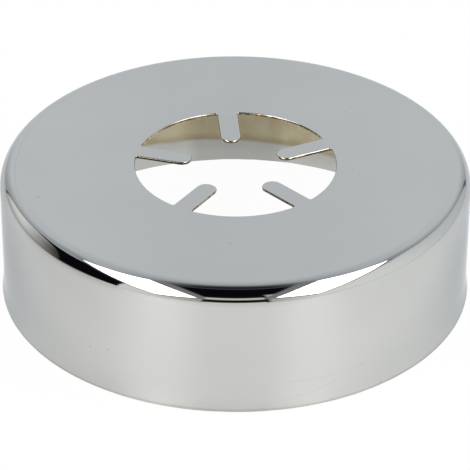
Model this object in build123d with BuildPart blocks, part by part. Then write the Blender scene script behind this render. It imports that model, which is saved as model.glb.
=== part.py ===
"""Pipe escutcheon: a drawn sheet-metal cap with a ring of spring fingers in its pierced top.

The cap slips over a pipe where it enters a wall or a floor. The fingers droop a little, bend
further as the pipe goes through and grip it, and the flared rim lies flat on the surface.
Millimetres, +Z up, with the origin at the centre of the rim's plane.
"""

import math
import os

from build123d import *

# Cap
wall_radius = 34.7
height = 20.0
sheet = 0.4
edge_radius = 2.8
flare_out = 0.3
flare_height = 3.0

# Pierced hole
hole_radius = 14.85

# Spring fingers
finger_count = 5
finger_width = 3.0
finger_tip_radius = 6.7
finger_droop_deg = 2.0
first_finger_deg = 95.0
bend_inset = 0.6
root_overlap = 1.5

rim_radius = wall_radius + flare_out
finger_root_x = hole_radius + root_overlap
finger_half_width = finger_width / 2
tip_round_x = finger_tip_radius + finger_half_width

# The bend is a straight line just inside the hole, clear of the finger's two root corners
bend_x = math.sqrt(hole_radius**2 - finger_half_width**2) - bend_inset
droop_at_axis = bend_x * math.tan(math.radians(finger_droop_deg))

# One finger, along +X: a bent strip of sheet, cut to a parallel outline with a full round tip
with BuildPart() as finger:
    with BuildSketch(Plane.XZ):
        with BuildLine():
            Polyline((finger_root_x, height), (bend_x, height), (0, height - droop_at_axis))
            offset(amount=sheet, side=Side.LEFT)
        make_face()
    extrude(amount=finger_half_width, both=True)
    with BuildSketch(Plane.XY):
        with BuildLine():
            left = Line((finger_root_x, finger_half_width), (tip_round_x, finger_half_width))
            right = Line((tip_round_x, -finger_half_width), (finger_root_x, -finger_half_width))
            ThreePointArc(left @ 1, (finger_tip_radius, 0), right @ 0)
            Line(right @ 1, left @ 0)
        make_face()
    extrude(amount=height, mode=Mode.INTERSECT)

with BuildPart() as escutcheon:
    # Drawn cap: the outer line of its half section, given the sheet's thickness and revolved
    with BuildSketch(Plane.XZ):
        with BuildLine():
            top = Line((hole_radius, height), (wall_radius - edge_radius, height))
            edge = TangentArc(top @ 1, (wall_radius, height - edge_radius), tangent=top % 1)
            wall = Line(edge @ 1, (wall_radius, flare_height))
            TangentArc(wall @ 1, (rim_radius, 0), tangent=wall % 1)
            offset(amount=sheet, side=Side.RIGHT)
        make_face()
    revolve(axis=Axis.Z)
    # The rim is trimmed flat, so that it lies close on a wall or a floor
    split(bisect_by=Plane.XY, keep=Keep.TOP)
    # The fingers are one sheet with the top
    with PolarLocations(0, finger_count, start_angle=first_finger_deg):
        add(finger.part)

escutcheon.part.label = "escutcheon"

os.makedirs("parts", exist_ok=True)
export_step(escutcheon.part, "parts/escutcheon.step")
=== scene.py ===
"""Looks of a chrome-plated pipe escutcheon: a drawn brass cap with five spring fingers in its top.

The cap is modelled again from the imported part's sizes, finely enough for a mirror finish, and gets
its three finishes: polished chrome outside, dull plate inside and bare brass where it was cut.
"""

import math
from typing import NamedTuple

import bmesh
import bpy
from mathutils import Matrix, Vector, noise


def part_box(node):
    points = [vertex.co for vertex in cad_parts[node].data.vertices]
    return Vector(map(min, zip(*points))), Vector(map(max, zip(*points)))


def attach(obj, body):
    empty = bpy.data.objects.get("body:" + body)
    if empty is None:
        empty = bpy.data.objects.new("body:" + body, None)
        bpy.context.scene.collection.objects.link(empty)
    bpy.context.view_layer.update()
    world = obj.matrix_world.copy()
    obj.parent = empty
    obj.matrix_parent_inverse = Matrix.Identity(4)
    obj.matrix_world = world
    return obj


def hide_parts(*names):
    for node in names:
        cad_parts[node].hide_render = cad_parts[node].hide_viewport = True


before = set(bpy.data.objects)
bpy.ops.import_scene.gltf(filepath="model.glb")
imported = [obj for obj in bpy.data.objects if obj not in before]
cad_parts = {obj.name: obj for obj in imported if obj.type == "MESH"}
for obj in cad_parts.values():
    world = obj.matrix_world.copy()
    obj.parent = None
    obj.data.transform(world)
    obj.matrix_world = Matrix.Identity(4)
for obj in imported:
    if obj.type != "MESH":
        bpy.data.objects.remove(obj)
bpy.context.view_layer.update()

MM = 0.001
DEGREE = math.radians(1.0)
UP = Vector((0, 0, 1))

# Cap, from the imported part
cap_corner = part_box("escutcheon")[1]
height = cap_corner.z
rim_radius = cap_corner.x
flare_out = 0.3 * MM
flare_height = 3.0 * MM
wall_radius = rim_radius - flare_out
edge_radius = 2.8 * MM
sheet = 0.4 * MM

# Pierced hole and spring fingers
hole_radius = 14.85 * MM
finger_count = 5
finger_half_width = 1.5 * MM
finger_tip_radius = 6.7 * MM
finger_droop = 2.0 * DEGREE
first_finger = 95.0 * DEGREE
bend_inset = 0.6 * MM
bend_x = math.sqrt(hole_radius**2 - finger_half_width**2) - bend_inset
bend_reach = 0.2 * MM
root_round = 0.3 * MM

# Cut edges: the round of the plated side, the round of the burr side, and the nicks of the rim
plated_round = 0.18 * MM
burr_round = 0.05 * MM
rim_nick = 0.09 * MM
rim_nick_spacing = 2.0 * MM

# How finely the mesh follows the form
edge_steps = 24
flare_steps = 8
gap_steps = 22
finger_steps = 24
root_round_steps = 8
plated_round_steps = 6
burr_round_steps = 2
border = 0.28 * MM
weld_distance = 0.001 * MM
flat_face_weight = 50

# Share across a finger that marks a point on its cut side; the points inside its border have -1 to 1
SIDE = 2.0

# Finishes of the sheet, in the order of the mesh's materials
OUTSIDE, INSIDE, CUT = 0, 1, 2

# The middle level of the shaders' noise
NOISE_MIDDLE = 0.5


class Signal:
    """An output in a shader tree. Arithmetic on it adds Math nodes, and add() makes any other node."""

    def __init__(self, tree, socket=None):
        self.tree = tree
        self.socket = socket

    def add(self, kind, settings=None, sockets=None, out=0):
        node = self.tree.nodes.new(kind)
        for name, value in (settings or {}).items():
            if name == "stops":
                self._set_stops(node.color_ramp, value)
            else:
                setattr(node, name, value)
        for name, value in (sockets or {}).items():
            if isinstance(value, Signal):
                self.tree.links.new(value.socket, node.inputs[name])
            else:
                node.inputs[name].default_value = value
        if isinstance(out, tuple):
            return [Signal(self.tree, node.outputs[name]) for name in out]
        return Signal(self.tree, node.outputs[out]) if len(node.outputs) else None

    @staticmethod
    def _set_stops(ramp, stops):
        while len(ramp.elements) < len(stops):
            ramp.elements.new(1.0)
        for element, (place, shade) in zip(ramp.elements, stops):
            element.position = place
            element.color = (*shade, 1.0)

    def math(self, operation, a, b=0.0):
        return self.add("ShaderNodeMath", {"operation": operation}, {0: a, 1: b})

    def __add__(self, other):
        return self.math("ADD", self, other)

    def __radd__(self, other):
        return self.math("ADD", other, self)

    def __sub__(self, other):
        return self.math("SUBTRACT", self, other)

    def __rsub__(self, other):
        return self.math("SUBTRACT", other, self)

    def __mul__(self, other):
        return self.math("MULTIPLY", self, other)

    def __rmul__(self, other):
        return self.math("MULTIPLY", other, self)

    def __truediv__(self, other):
        return self.math("DIVIDE", self, other)

    def __pow__(self, other):
        return self.math("POWER", self, other)

    def __abs__(self):
        return self.math("ABSOLUTE", self)

    def step(self, start, end):
        """0 before start and 1 after end, with a smooth rise between; start may be the larger."""
        settings = {"interpolation_type": "SMOOTHSTEP"}
        if start <= end:
            return self.add("ShaderNodeMapRange", settings, {0: self, 1: start, 2: end})
        return 1 - self.step(end, start)

    def mix(self, before, after):
        """The colour before where this signal is 0, and the colour after where it is 1."""
        sockets = {0: self, 6: before, 7: after}
        return self.add("ShaderNodeMix", {"data_type": "RGBA"}, sockets, out=2)

    def ramp(self, stops, top):
        """A colour that goes through these stops as this signal goes from 0 to top."""
        scaled = [(place / top, shade) for place, shade in stops]
        return self.add("ShaderNodeValToRGB", {"stops": scaled}, {"Fac": self / top})

    def dot(self, vector):
        settings = {"operation": "DOT_PRODUCT"}
        return self.add("ShaderNodeVectorMath", settings, {0: self, 1: vector}, out="Value")

    def axes(self):
        """The x, y and z of a vector."""
        return self.add("ShaderNodeSeparateXYZ", None, {0: self}, out=("X", "Y", "Z"))

    def noise(self, scale, detail):
        """Soft noise about 0.5 at this place. The scale has a number for each axis."""
        stretch = {"operation": "MULTIPLY"}
        stretched = self.add("ShaderNodeVectorMath", stretch, {0: self, 1: scale})
        sockets = {"Vector": stretched, "Scale": 1.0, "Detail": detail}
        return self.add("ShaderNodeTexNoise", None, sockets)


def grey(level):
    return (level, level, level, 1.0)


BLACK = grey(0.0)
WHITE = grey(1.0)


def new_material(name):
    material = bpy.data.materials.new(name)
    material.use_nodes = True
    material.node_tree.nodes.clear()
    return material, Signal(material.node_tree)


def object_place(paint):
    return paint.add("ShaderNodeTexCoord", out="Object")


def finish_surface(paint, shader):
    paint.add("ShaderNodeOutputMaterial", None, {"Surface": shader})


def finish_metal(paint, shade, roughness, relief, depth, more=None):
    """Ends a metal's shader tree, with its relief as a bump of that depth."""
    bump = paint.add("ShaderNodeBump", None, {"Distance": depth, "Height": relief})
    sockets = {"Base Color": shade, "Metallic": 1.0, "Roughness": roughness, "Normal": bump}
    finish_surface(paint, paint.add("ShaderNodeBsdfPrincipled", None, {**sockets, **(more or {})}))


# Mesh of the sheet


def polar(radius, angle, z):
    return Vector((radius * math.cos(angle), radius * math.sin(angle), z))


def drawn_line(bm, at):
    """The outer line of the cap's half section in the plane at that angle, from the hole to the rim."""
    edge_centre = polar(wall_radius - edge_radius, at, height - edge_radius)
    flare_radius = (flare_out**2 + flare_height**2) / (2 * flare_out)
    flare_centre = polar(wall_radius + flare_radius, at, flare_height)
    flare_turn = math.atan2(flare_height, flare_radius - flare_out)
    outwards = polar(1, at, 0)
    sideways = UP.cross(outwards)

    vert = bmesh.ops.create_vert(bm, co=polar(hole_radius, at, height))["vert"][0]
    vert = run_to(bm, vert, polar(hole_radius + border, at, height))
    vert = run_to(bm, vert, polar(wall_radius - edge_radius, at, height))
    vert = bend(bm, vert, edge_centre, sideways, math.pi / 2, edge_steps)
    vert = run_to(bm, vert, polar(wall_radius, at, flare_height))
    bend(bm, vert, flare_centre, -sideways, flare_turn, flare_steps)
    return bm.verts[:] + bm.edges[:]


def run_to(bm, vert, place):
    end = bmesh.ops.extrude_vert_indiv(bm, verts=[vert])["verts"][0]
    end.co = place
    return end


def bend(bm, vert, centre, axis, turn, steps):
    spun = bmesh.ops.spin(bm, geom=[vert], cent=centre, axis=axis, angle=turn, steps=steps)
    return spun["geom_last"][0]


def turn_about_axis(bm, geom, turn, steps):
    spun = bmesh.ops.spin(bm, geom=geom, cent=(0, 0, 0), axis=UP, angle=turn, steps=steps)
    return spun["geom_last"]


def extrude_row(bm, edges, place):
    """Draws a row of edges out by one more row. Each new point goes to place(its share across)."""
    across = bm.verts.layers.float["across"]
    made = bmesh.ops.extrude_edge_only(bm, edges=edges)["geom"]
    for vert in made:
        if isinstance(vert, bmesh.types.BMVert):
            x, y = place(vert[across])
            vert.co = (x, y, height - max(bend_x - x, 0) * math.tan(finger_droop))
    return [g for g in made if isinstance(g, bmesh.types.BMEdge)]


def straight_row(end, inset):
    """A row across the finger: its ends at the cut sides, the rest evenly between the inset points."""

    def place(share):
        if abs(share) == SIDE:
            return end[0], end[1] * share / SIDE
        return inset[0], inset[1] * share

    return place


def tip_row(centre_x, radius):
    """A row round the finger's tip at that radius, with its ends at the cut sides."""

    def place(share):
        turn = max(-1, min(share, 1)) * math.pi / 2
        reach = finger_half_width if abs(share) == SIDE else radius
        return centre_x - reach * math.cos(turn), reach * math.sin(turn)

    return place


def draw_finger(bm, edges, round_centre, root_half_turn):
    """One finger along +X: root rounds, parallel sides, a bend and a full round tip."""
    for k in range(1, root_round_steps + 1):
        turn = root_half_turn - (root_half_turn + math.pi / 2) * k / root_round_steps
        spoke = Vector((math.cos(turn), math.sin(turn)))
        end = round_centre + root_round * spoke
        inset = round_centre + (root_round + border) * spoke
        edges = extrude_row(bm, edges, straight_row(end, inset))
    inner_half_width = finger_half_width - border
    tip_centre = finger_tip_radius + finger_half_width
    for x in (bend_x + bend_reach, bend_x, bend_x - bend_reach, tip_centre + finger_half_width):
        row = straight_row((x, finger_half_width), (x, inner_half_width))
        edges = extrude_row(bm, edges, row)

    across = bm.verts.layers.float["across"]
    edges = extrude_row(bm, edges, tip_row(tip_centre, inner_half_width))
    edges = [e for e in edges if all(abs(v[across]) < SIDE for v in e.verts)]
    extrude_row(bm, edges, tip_row(tip_centre, finger_half_width))


def finger_root(bm, root_half_turn):
    """Clears the hole's edge where the finger starts, and returns the edges to draw it from."""
    slack = 0.001
    across = bm.verts.layers.float.new("across")
    near_hole = [v for v in bm.verts if v.co.xy.length < hole_radius + 1.5 * border]
    at_root = []
    for vert in near_hole:
        share = math.atan2(vert.co.y, vert.co.x) / root_half_turn
        if abs(share) < 1 + slack:
            vert[across] = share
            at_root.append(vert)
    on_hole = [v for v in at_root if v.co.xy.length < hole_radius + 0.5 * border]
    ends = [v for v in on_hole if abs(v[across]) > 1 - slack]
    for vert in ends:
        vert[across] = math.copysign(SIDE, vert[across])
    row = set(at_root) - set(on_hole) | set(ends)
    bmesh.ops.delete(bm, geom=[v for v in on_hole if v not in ends], context="VERTS")
    return [e for e in bm.edges if row.issuperset(e.verts)]


def outer_skin(bm):
    """The whole outer skin of the sheet: one sector with its finger, repeated about the axis."""
    centre_y = finger_half_width + root_round
    centre_x = math.sqrt((hole_radius - root_round) ** 2 - centre_y**2)
    root_half_turn = math.atan2(centre_y, centre_x)
    sector = 2 * math.pi / finger_count
    gap_turn = sector / 2 - root_half_turn

    line = drawn_line(bm, -sector / 2)
    line = turn_about_axis(bm, line, gap_turn, gap_steps)
    line = turn_about_axis(bm, line, 2 * root_half_turn, finger_steps)
    turn_about_axis(bm, line, gap_turn, gap_steps)
    root = finger_root(bm, root_half_turn)
    draw_finger(bm, root, Vector((centre_x, centre_y)), root_half_turn)
    bm.verts.layers.float.remove(bm.verts.layers.float["across"])

    first = Matrix.Rotation(first_finger, 3, "Z")
    bmesh.ops.rotate(bm, verts=bm.verts[:], cent=(0, 0, 0), matrix=first)
    others = finger_count - 1
    bmesh.ops.spin(
        bm,
        geom=bm.verts[:] + bm.edges[:] + bm.faces[:],
        cent=(0, 0, 0),
        axis=UP,
        angle=sector * others,
        steps=others,
        use_duplicate=True,
    )
    bmesh.ops.remove_doubles(bm, verts=bm.verts[:], dist=weld_distance)
    bmesh.ops.recalc_face_normals(bm, faces=bm.faces[:])
    if max(bm.faces, key=lambda f: f.calc_center_median().z).normal.z < 0:
        bmesh.ops.reverse_faces(bm, faces=bm.faces[:])


def flatten_rim(bm):
    """Trims the rim to the plane that the cap stands on."""
    for vert in bm.verts:
        vert.co.z = max(vert.co.z, 0)


def nick_rim(bm):
    """Leaves the shallow nicks of trimming in the rim, above the plane that the cap stands on."""
    for vert in bm.verts:
        if vert.co.z < plated_round:
            share = 1 - vert.co.z / plated_round
            depth = max(0, noise.noise(vert.co.xy.to_3d() / rim_nick_spacing))
            vert.co.z += rim_nick * share * depth


def round_edges(bm, finishes, radius, steps):
    """Rounds the edges where those two finishes meet."""
    edges = [e for e in bm.edges if {f.material_index for f in e.link_faces} == finishes]
    bmesh.ops.bevel(
        bm,
        geom=edges,
        offset=radius,
        offset_type="OFFSET",
        affect="EDGES",
        segments=steps,
        profile=0.5,
        material=-1,
    )


def escutcheon_piece(outside, inside, cut):
    """The whole sheet: outer skin, its thickness inwards, and small rounds along the cut edges."""
    bm = bmesh.new()
    outer_skin(bm)
    skin = set(bm.faces)
    inner = bmesh.ops.solidify(bm, geom=bm.faces[:], thickness=sheet)["geom"]
    inner = {g for g in inner if isinstance(g, bmesh.types.BMFace)}
    for face in bm.faces:
        face.material_index = OUTSIDE if face in skin else INSIDE if face in inner else CUT
    flatten_rim(bm)
    round_edges(bm, {OUTSIDE, CUT}, plated_round, plated_round_steps)
    round_edges(bm, {INSIDE, CUT}, burr_round, burr_round_steps)
    flatten_rim(bm)
    nick_rim(bm)
    for face in bm.faces:
        face.smooth = True
    piece = new_object("escutcheon_sheet", bm, outside, inside, cut)
    weighted = piece.modifiers.new("flat faces lead", "WEIGHTED_NORMAL")
    weighted.mode = "FACE_AREA"
    weighted.weight = flat_face_weight
    return piece


def new_object(name, bm, *materials):
    mesh = bpy.data.meshes.new(name)
    bm.to_mesh(mesh)
    bm.free()
    for material in materials:
        mesh.materials.append(material)
    piece = bpy.data.objects.new(name, mesh)
    bpy.context.scene.collection.objects.link(piece)
    return piece


# Polished chrome

chrome_dark = (0.553, 0.565, 0.56, 1.0)
chrome_light = (0.567, 0.579, 0.573, 1.0)
chrome_edge_tint = (0.77, 0.80, 0.83, 1.0)
chrome_roughness = 0.025

# Noise scales are per metre, one for each axis
haze_scale = (70, 70, 70)
haze_detail = 5.0
haze_range = (0.3, 0.7)
haze_roughness = 0.02
wave_scale = (130, 130, 60)
wave_detail = 1.0
wave_height = 0.02 * MM

# Polishing rings: close along the section's line, and drifting slowly round the cap
ring_scale = 5000
ring_drift = 30
ring_detail = 3.0
ring_range = (0.55, 0.75)
ring_shade = grey(0.45)
ring_strength = 0.03
ring_roughness = 0.03

# Painted shade: a dark line along the bottom of the outer wall, standing in for the floor's contact
# shadow mirrored there
rim_painted_shade_colour = (0.24, 0.22, 0.18, 1.0)
rim_painted_shade_strength = 0.3
rim_painted_shade_fade = (0.55 * MM, 0.2 * MM)
rim_painted_shade_waver = 0.6 * MM

# Specks in mm: on the top by x and y, on the wall by the way round from the front and the height
top_specks = [(16.6, 15.2), (17.1, -1.9), (-28.5, -9.9), (-0.7, -22.1)]
wall_specks = [(18.9, 4.7), (22.2, 0.5), (-21.9, 6.3), (-18.8, 7.0)]
speck_radius = 0.32 * MM
speck_core = 0.3 * speck_radius
speck_shade = (0.1, 0.08, 0.06, 1.0)
speck_strength = 0.14
speck_roughness = 0.2

# Scratches on the wall in mm: ends by the way round, the lowest point, and the climb away from it
scratches_on_wall = [
    {"start": 7.0, "end": 18.5, "lowest": (6.0, 1.75), "climb": 0.02},
    {"start": 7.0, "end": 16.0, "lowest": (11.5, 4.4), "climb": 0.006},
]
scratch_end_fade = 1.5 * MM
scratch_edges = (0.11 * MM, 0.04 * MM)
scratch_shade = (0.12, 0.11, 0.08, 1.0)
scratch_strength = 0.09
scratch_roughness = 0.1


def speck(u, v, place_u, place_v):
    """A mask of one small round spot."""
    away = ((u - place_u * MM) ** 2 + (v - place_v * MM) ** 2) ** 0.5
    return away.step(speck_radius, speck_core)


def scratch(around, z, start, end, lowest, climb):
    """A mask of one fine scratch on the wall, which climbs from its lowest point."""
    lowest_around, lowest_z = lowest
    fade = scratch_end_fade
    line = (around - lowest_around * MM) ** 2 * (climb / MM)
    off = abs(z - lowest_z * MM - line)
    after_start = around.step(start * MM - fade, start * MM + fade)
    before_end = around.step(end * MM + fade, end * MM - fade)
    return off.step(*scratch_edges) * (after_start * before_end)


def polished_chrome():
    """Bright chrome with a faint haze, fine rings from polishing, a few marks and shallow waves."""
    material, paint = new_material("polished_chrome")
    where = object_place(paint)
    x, y, z = where.axes()
    around = paint.math("ARCTAN2", x, 0 - y) * wall_radius
    outline = (x**2 + y**2) ** 0.5 - z
    ring_sockets = {0: x * ring_drift, 1: y * ring_drift, 2: outline * ring_scale}
    ring_place = paint.add("ShaderNodeCombineXYZ", None, ring_sockets)
    rings = ring_place.noise((1, 1, 1), ring_detail).step(*ring_range)
    haze = where.noise(haze_scale, haze_detail)
    waves = where.noise(wave_scale, wave_detail)
    specks = sum(speck(x, y, *place) for place in top_specks)
    specks = specks + sum(speck(around, z, *place) for place in wall_specks)
    scratches = sum(scratch(around, z, **line) for line in scratches_on_wall)
    rim_painted_shade = (z + (haze - NOISE_MIDDLE) * rim_painted_shade_waver).step(*rim_painted_shade_fade)

    shade = haze.step(*haze_range).mix(chrome_dark, chrome_light)
    shade = (rings * ring_strength).mix(shade, ring_shade)
    # painted shade along the rim
    shade = (rim_painted_shade * rim_painted_shade_strength).mix(shade, rim_painted_shade_colour)
    shade = (scratches * scratch_strength).mix(shade, scratch_shade)
    shade = (specks * speck_strength).mix(shade, speck_shade)
    roughness = chrome_roughness + haze * haze_roughness + rings * ring_roughness
    roughness = roughness + scratches * scratch_roughness + specks * speck_roughness
    tint = {"Specular Tint": chrome_edge_tint}
    finish_metal(paint, shade, roughness, waves, wave_height, tint)
    return material


# Dull plate inside

plate_dark = (0.46, 0.40, 0.26, 1.0)
plate_light = (0.56, 0.51, 0.36, 1.0)
plate_roughness = 0.28
mottle_scale = (170, 170, 230)
mottle_detail = 5.0
mottle_share = 0.7
mottle_range = (0.35, 0.65)
mottle_roughness = 0.12
draw_mark_scale = (900, 900, 90)
draw_mark_detail = 3.0
draw_mark_depth = 0.004 * MM

# Chrome that reached into the cap from the rim: its upper line, and the stain above that line
chrome_reach = 3.75 * MM
chrome_reach_tilt = 0.055
chrome_reach_waver = 0.8 * MM
chrome_line_fade = (0.35 * MM, -0.35 * MM)
thin_chrome_fade = (-2.6 * MM, -0.2 * MM)
thin_chrome_waver = 1.0 * MM
inside_chrome = (0.56, 0.57, 0.545, 1.0)
inside_chrome_thin = (0.49, 0.5, 0.475, 1.0)
inside_chrome_smoothness = 0.1
stain_fade = (1.7 * MM, 0.2 * MM)
stain_shade = (0.22, 0.17, 0.11, 1.0)
stain_strength = 0.4

# Painted shade on the inside at the back, where the plate mirrors something darker, between two places
# across the cap
back_painted_shade_left = (-8.5 * MM, -5.5 * MM)
back_painted_shade_right = (9.0 * MM, 5.5 * MM)
back_painted_shade_depth = (0.0, 10.0 * MM)
back_painted_shade_strength = 0.2


def dull_plate():
    """Thin warm plate inside the cap: mottled, with painted shade at the back, and grey chrome near the
    rim.
    """
    material, paint = new_material("dull_plate")
    where = object_place(paint)
    x, y, z = where.axes()
    mottle = where.noise(mottle_scale, mottle_detail)
    drawn = where.noise(draw_mark_scale, draw_mark_detail)
    over_line = z + x * chrome_reach_tilt - chrome_reach
    over_line = over_line + (mottle - NOISE_MIDDLE) * chrome_reach_waver
    near_rim = over_line.step(*chrome_line_fade)
    stain = over_line.step(*stain_fade)
    thin = (over_line + (drawn - NOISE_MIDDLE) * thin_chrome_waver).step(*thin_chrome_fade)
    painted_shade = x.step(*back_painted_shade_left) * x.step(*back_painted_shade_right) * y.step(*back_painted_shade_depth)

    bright = (mottle * mottle_share + drawn * (1 - mottle_share)).step(*mottle_range)
    shade = bright.mix(plate_dark, plate_light)
    shade = (stain * stain_strength).mix(shade, stain_shade)
    shade = near_rim.mix(shade, thin.mix(inside_chrome, inside_chrome_thin))
    # painted shade in the middle of the back wall
    shade = (painted_shade * back_painted_shade_strength).mix(shade, BLACK)
    roughness = plate_roughness + mottle * mottle_roughness - near_rim * inside_chrome_smoothness
    finish_metal(paint, shade, roughness, drawn, draw_mark_depth)
    return material


# Cut brass

brass_dark = (0.3, 0.23, 0.13, 1.0)
brass_light = (0.68, 0.61, 0.47, 1.0)
brass_roughness = 0.26
brass_smoothness = 0.12
streak_scale = (1800, 1800, 250)
streak_detail = 3.0
streak_share = 0.6
streak_range = (0.42, 0.6)
patch_scale = (350, 350, 350)
patch_detail = 2.0
shear_mark_depth = 0.01 * MM

# Painted shade on the left finger's cut edge, standing in for the shadowed floor inside the cap that it
# mirrors, by place across the cap and from front to back
cut_painted_shade_across = (-5.5 * MM, -7.5 * MM)
cut_painted_shade_back = (5.5 * MM, 4.0 * MM)
cut_painted_shade_colour = (0.12, 0.10, 0.07, 1.0)
cut_painted_shade_strength = 0.75


def cut_brass():
    """The sheared edge: brass, streaked through the sheet's thickness, with painted shade on the left
    finger.
    """
    material, paint = new_material("cut_brass")
    where = object_place(paint)
    x, y = where.axes()[:2]
    streaks = where.noise(streak_scale, streak_detail)
    patches = where.noise(patch_scale, patch_detail)
    bright = (streaks * streak_share + patches * (1 - streak_share)).step(*streak_range)
    painted_shade = x.step(*cut_painted_shade_across) * y.step(*cut_painted_shade_back)
    shade = bright.mix(brass_dark, brass_light)
    # painted shade on the left finger's cut edge
    shade = (painted_shade * cut_painted_shade_strength).mix(shade, cut_painted_shade_colour)
    roughness = brass_roughness - bright * brass_smoothness
    finish_metal(paint, shade, roughness, streaks, shear_mark_depth)
    return material


# Softboxes, by bearing and rise in degrees, with their sizes at a distance of 1

softbox_distance = 1.0
softbox_half_length = 0.633
softbox_half_width = 0.213
softbox_roll = 45.2
left_softbox = (-50.5, 46.0)
right_softbox = (52.6, 47.4)
softbox_radiance = 3.95
softbox_colour = (1.0, 0.975, 0.93)
softbox_border_above = 0.10
softbox_border_below = 0.05
softbox_border_blur = 0.02
softbox_border_shade = grey(0.28)
ahead_fade = (0.0, 0.05)


def sky_axes(place, roll):
    """Centre, length and width directions of a softbox at that bearing and rise, turned by the roll."""
    bearing, rise = (angle * DEGREE for angle in place)
    roll = roll * DEGREE
    across, towards_camera = math.sin(bearing), -math.cos(bearing)
    centre = Vector((across * math.cos(rise), towards_camera * math.cos(rise), math.sin(rise)))
    level = UP.cross(centre).normalized()
    upwards = centre.cross(level)
    length = level * math.cos(roll) + upwards * math.sin(roll)
    return centre, length, centre.cross(length)


def softbox(name, place, roll):
    """A strip softbox that faces the cap."""
    centre, length, width = sky_axes(place, roll)
    lamp = bpy.data.lights.new(name, "AREA")
    lamp.shape = "RECTANGLE"
    lamp.size = 2 * softbox_half_length * softbox_distance
    lamp.size_y = 2 * softbox_half_width * softbox_distance
    lamp.energy = softbox_radiance * math.pi * lamp.size * lamp.size_y
    lamp.color = softbox_colour
    light = bpy.data.objects.new(name, lamp)
    light.matrix_world = Matrix((length, width, centre)).transposed().to_4x4()
    light.location = centre * softbox_distance
    bpy.context.scene.collection.objects.link(light)


def softbox_border(direction, place, roll):
    """A mask that is 1 where the direction meets a softbox or the grey border around it."""
    centre, length, width = sky_axes(place, roll)
    if width.z < 0:
        width = -width
    ahead = direction.dot(centre)
    along = abs(direction.dot(length) / ahead)
    across = direction.dot(width) / ahead
    blur = softbox_border_blur
    end = softbox_half_length + softbox_border_above
    top = softbox_half_width + softbox_border_above
    bottom = -softbox_half_width - softbox_border_below
    mask = along.step(end + blur, end - blur) * across.step(top + blur, top - blur)
    return mask * across.step(bottom - blur, bottom + blur) * ahead.step(*ahead_fade)


# Studio around the cap, by bearing and rise in degrees. A pair is where a change starts and ends

zenith = 90
back_wall = [
    (0, (0.92, 0.93, 0.94)),
    (12, (0.83, 0.85, 0.865)),
    (30, (0.83, 0.85, 0.87)),
    (45, (0.74, 0.77, 0.80)),
    (60, (0.64, 0.66, 0.68)),
    (70, (0.46, 0.49, 0.53)),
    (76, (0.17, 0.18, 0.19)),
    (82, (0.03, 0.03, 0.035)),
    (90, (0.03, 0.03, 0.04)),
]
wall_middle = (0.07, 0.0)
wall_middle_dim = 0.05
wall_end_slope = 0.5
wall_end_start = 16
wall_end_fade = (150, 124)
wall_end_top = (62, 50)
wall_end_dim = 0.42

# The dark room in front. Above a sloping edge the back wall comes forward over it
front_room_shade = (0.004, 0.004, 0.006, 1.0)
front_room_fade = (122, 117)
front_room_setback = 30
ceiling_edge = 70.4
ceiling_edge_slope = 0.27
ceiling_edge_fade = (-1, 1)
edge_light_above = 2
edge_light_fade = (2, 0.6)
edge_light_left = (-92, -100)
edge_light_shade = (0.62, 0.68, 0.76, 1.0)
edge_light_strength = 0.5

# The ceiling rail, by the parts of the direction towards the back and up
rail_towards_front = 0.075
rail_edges = (0.06, 0.03)
rail_height = (0.75, 0.85)
rail_shade = (0.07, 0.07, 0.085, 1.0)

# Pale cards at the right and at the left
right_card_start = (14.5, 17.5)
right_card_end = 142
right_card_end_curve = 0.0145
right_card_end_fade = (2, -2)
right_card_top = (49, 43)
right_card_far = (55, 140)
right_card_shade = (1.06, 1.06, 1.03, 1.0)
right_card_far_shade = (0.72, 0.75, 0.77, 1.0)
right_card_near = (42, 14)
right_card_near_shade = (0.6, 0.59, 0.55, 1.0)
left_card_start = (-54.6, -53)
left_card_end = (-13.5, -16)
left_card_top = (37, 31)
left_card_near = (-44, -14)
left_card_shade = (0.97, 0.97, 0.93, 1.0)
left_card_near_shade = (0.56, 0.55, 0.51, 1.0)

# A round-topped bright opening at the far left, and the dark frames of it and of the right card
opening_bearing = -111
opening_half_width = 25
opening_height = 35.5
opening_fade = (1.04, 0.94)
opening_light = (-79, -115)
opening_light_slope = 0.5
opening_dark = (0.06, 0.05, 0.035, 1.0)
opening_bright = (1.0, 1.0, 0.98, 1.0)
opening_low = (18, 0)
opening_low_dim = 0.42
opening_frame = 1.06
opening_frame_fade = (0.12, 0.02)
opening_frame_left = (-110, -122)
right_frame_fade = (2.5, 0.5)
right_frame_top = (52, 44)
frame_shade = grey(0.05)
frame_strength = 0.35
frame_strength_low = 0.45
frame_low = (20, 4)

# The window in front with its dark bars, from the floor up, and the pale edge of the floor's sheet
window_top = 45
front_window = [
    (0, (0.97, 0.96, 0.90)),
    (4, (0.90, 0.88, 0.80)),
    (8, (0.10, 0.09, 0.07)),
    (9.5, (0.01, 0.009, 0.006)),
    (20.5, (0.01, 0.009, 0.006)),
    (23, (0.77, 0.74, 0.69)),
    (31, (0.77, 0.74, 0.69)),
    (34, (0.03, 0.028, 0.025)),
    (37, (0.008, 0.008, 0.007)),
]
window_side = (14.8, 13.4)
window_end = (45, 40)
sheet_edge_top = (5, 1.5)
sheet_edge_side = (95, 55)
sheet_edge_shade = (1.0, 0.99, 0.93, 1.0)


class View(NamedTuple):
    """Where a ray looks. The bearing is 0 towards the camera and positive to the right, in degrees."""

    x: Signal
    y: Signal
    z: Signal
    bearing: Signal
    aside: Signal
    rise: Signal


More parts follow.
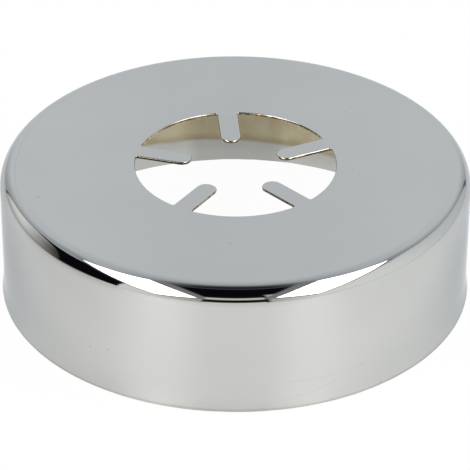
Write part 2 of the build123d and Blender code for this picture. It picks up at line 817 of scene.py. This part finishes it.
def back_and_front_rooms(view):
    """A pale room behind the cap and a dark one in front, with a light along its edge and a rail."""
    shade = view.rise.ramp(back_wall, zenith)
    middle = abs(view.x).step(*wall_middle)
    shade = (middle * wall_middle_dim).mix(shade, BLACK)
    wall_end = (view.aside + wall_end_slope * view.rise - wall_end_start).step(*wall_end_fade)
    wall_end = wall_end * view.rise.step(*wall_end_top)
    shade = (wall_end * wall_end_dim).mix(shade, BLACK)

    over_edge = view.rise + ceiling_edge_slope * view.aside - ceiling_edge
    setback = front_room_setback * over_edge.step(*ceiling_edge_fade)
    front_room = (view.aside + setback).step(*front_room_fade)
    shade = front_room.mix(shade, front_room_shade)
    edge_light = abs(over_edge - edge_light_above).step(*edge_light_fade)
    edge_light = edge_light * view.bearing.step(*edge_light_left)
    shade = (edge_light * edge_light_strength).mix(shade, edge_light_shade)
    rail = abs(view.y + rail_towards_front).step(*rail_edges) * view.z.step(*rail_height)
    return (rail * front_room).mix(shade, rail_shade)


def side_cards(view, shade):
    """Pale cards at both sides and the bright opening at the far left, with their dark frames."""
    from_right_end = view.bearing + right_card_end_curve * view.rise**2 - right_card_end
    right_card = view.bearing.step(*right_card_start) * from_right_end.step(*right_card_end_fade)
    right_card = right_card * view.rise.step(*right_card_top)
    right_shade = view.bearing.step(*right_card_far).mix(right_card_shade, right_card_far_shade)
    right_shade = view.bearing.step(*right_card_near).mix(right_shade, right_card_near_shade)
    shade = right_card.mix(shade, right_shade)

    left_card = view.bearing.step(*left_card_start) * view.bearing.step(*left_card_end)
    left_card = left_card * view.rise.step(*left_card_top)
    left_shade = view.bearing.step(*left_card_near).mix(left_card_shade, left_card_near_shade)
    shade = left_card.mix(shade, left_shade)

    aside_of_it = (view.bearing - opening_bearing) / opening_half_width
    opening = aside_of_it**2 + (view.rise / opening_height) ** 2
    light = (view.bearing + opening_light_slope * view.rise).step(*opening_light)
    opening_shade = light.mix(opening_dark, opening_bright)
    low_part = view.rise.step(*opening_low)
    opening_shade = (low_part * opening_low_dim).mix(opening_shade, BLACK)
    shade = opening.step(*opening_fade).mix(shade, opening_shade)

    left_frame = abs(opening - opening_frame).step(*opening_frame_fade)
    left_frame = left_frame * view.bearing.step(*opening_frame_left)
    right_frame = abs(from_right_end).step(*right_frame_fade) * view.rise.step(*right_frame_top)
    strength = frame_strength + view.rise.step(*frame_low) * frame_strength_low
    return ((left_frame + right_frame) * strength).mix(shade, frame_shade)


def window_and_sheet(view, shade):
    """The window in front, and the pale edge of the sheet low in front of the cap."""
    window = view.aside.step(*window_side) * view.rise.step(*window_end)
    shade = window.mix(shade, view.rise.ramp(front_window, window_top))
    sheet_edge = view.rise.step(*sheet_edge_top) * view.aside.step(*sheet_edge_side)
    return sheet_edge.mix(shade, sheet_edge_shade)


def studio_world():
    """The studio that the chrome mirrors, from the back to the front."""
    world = bpy.data.worlds.new("studio")
    world.use_nodes = True
    world.node_tree.nodes.clear()
    sky = Signal(world.node_tree)
    direction = sky.add("ShaderNodeTexCoord", out="Generated")
    x, y, z = direction.axes()
    bearing = sky.math("ARCTAN2", x, 0 - y) / DEGREE
    rise = sky.math("ARCSINE", z) / DEGREE
    view = View(x, y, z, bearing, abs(bearing), rise)

    shade = side_cards(view, back_and_front_rooms(view))
    for place, roll in ((left_softbox, -softbox_roll), (right_softbox, softbox_roll)):
        shade = softbox_border(direction, place, roll).mix(shade, softbox_border_shade)
    shade = window_and_sheet(view, shade)
    background = sky.add("ShaderNodeBackground", None, {"Color": shade, "Strength": 1.0})
    sky.add("ShaderNodeOutputWorld", None, {"Surface": background})
    bpy.context.scene.world = world


# Floor: shares of white in what the camera and the metal see of it, and where they change

floor_half_side = 4.0
floor_colour = (0.89, 0.89, 0.9, 1.0)
floor_roughness = 0.35
floor_white_seen = 0.97
floor_white_mirrored = 0.12
# Painted light: a pool of light on the floor under the back of the cap, where light through the hole
# falls; only the metal sees it
painted_light_under_cap = 0.75
painted_light_depth = (0.0, 16.0 * MM)
# Painted light beside the cap's sides, seen only in the metal, which lightens the cap's own shadow on
# the floor there
painted_fill_strength = 0.25
painted_fill_reach = 16.0 * MM
painted_fill_sides = (0.35, 0.75)
# Painted shade: the floor's colour darker at the sides from a little way out from the wall, half as
# much at the right, where less light falls
floor_painted_shade_at_sides = 0.12
painted_side_shade_reach = 24.0 * MM
painted_side_shade_sides = (0.4, 0.9)
painted_side_shade_less_at_right = 0.5
painted_side_shade_right = (-10.0 * MM, 10.0 * MM)


def studio_floor():
    """A white sheet with a slight gloss. It shows white, also in the metal, and keeps the shadow. Near
    the cap, what the metal sees of it has painted light and painted shade.
    """
    material, paint = new_material("studio_sheet")
    rays = ("Is Camera Ray", "Is Glossy Ray", "Is Transmission Ray")
    camera, glossy, through = paint.add("ShaderNodeLightPath", out=rays)
    x, y = object_place(paint).axes()[:2]
    radius = (x**2 + y**2) ** 0.5
    sideways = abs(x) / radius
    inside = radius.step(rim_radius, rim_radius - sheet)
    # painted pool of light under the back of the cap
    painted_light_pool = inside * y.step(*painted_light_depth)
    # painted light that fills the shadow beside the cap's sides
    painted_fill = radius.step(wall_radius + painted_fill_reach, wall_radius)
    painted_fill = painted_fill * sideways.step(*painted_fill_sides) * (1 - inside)
    mirrored = floor_white_mirrored + painted_light_pool * (painted_light_under_cap - floor_white_mirrored)
    mirrored = mirrored + painted_fill * painted_fill_strength
    white = camera * floor_white_seen + (glossy + through) * mirrored

    # painted shade on the floor at the sides
    painted_side_shade = sideways.step(*painted_side_shade_sides) * radius.step(wall_radius, wall_radius + painted_side_shade_reach)
    painted_side_shade = painted_side_shade * (1 - painted_side_shade_less_at_right * x.step(*painted_side_shade_right))
    colour = (painted_side_shade * floor_painted_shade_at_sides).mix(floor_colour, BLACK)
    sockets = {"Base Color": colour, "Roughness": floor_roughness}
    sheet_shader = paint.add("ShaderNodeBsdfPrincipled", None, sockets)
    glow = paint.add("ShaderNodeEmission", None, {"Color": WHITE, "Strength": 1.0})
    sockets = {0: white, 1: sheet_shader, 2: glow}
    finish_surface(paint, paint.add("ShaderNodeMixShader", None, sockets))
    bm = bmesh.new()
    bmesh.ops.create_grid(bm, x_segments=1, y_segments=1, size=floor_half_side)
    new_object("floor", bm, material)


# Camera, at the photograph's viewing angle

camera_lens = 221.1
camera_sensor_width = 36.0
camera_nearest = 0.01
camera_furthest = 20.0
camera_elevation = 32.24 * DEGREE
camera_roll = 0.24 * DEGREE
camera_aim = Vector((-0.03, 0.0, 7.43)) * MM
camera_distance = 431.7 * MM


def place_camera():
    data = bpy.data.cameras.new("camera")
    data.lens = camera_lens
    data.sensor_width = camera_sensor_width
    data.clip_start = camera_nearest
    data.clip_end = camera_furthest
    camera = bpy.data.objects.new("camera", data)
    tilt = Matrix.Rotation(math.pi / 2 - camera_elevation, 4, "X")
    roll = Matrix.Rotation(camera_roll, 4, "Z")
    back = Vector((0, -math.cos(camera_elevation), math.sin(camera_elevation)))
    camera.matrix_world = Matrix.Translation(camera_aim + back * camera_distance) @ tilt @ roll
    bpy.context.scene.collection.objects.link(camera)
    bpy.context.scene.camera = camera


piece = escutcheon_piece(polished_chrome(), dull_plate(), cut_brass())
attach(piece, "root")
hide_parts("escutcheon")

studio_floor()
studio_world()
softbox("left_softbox", left_softbox, -softbox_roll)
softbox("right_softbox", right_softbox, softbox_roll)
place_camera()
bpy.context.scene.view_settings.view_transform = "Standard"
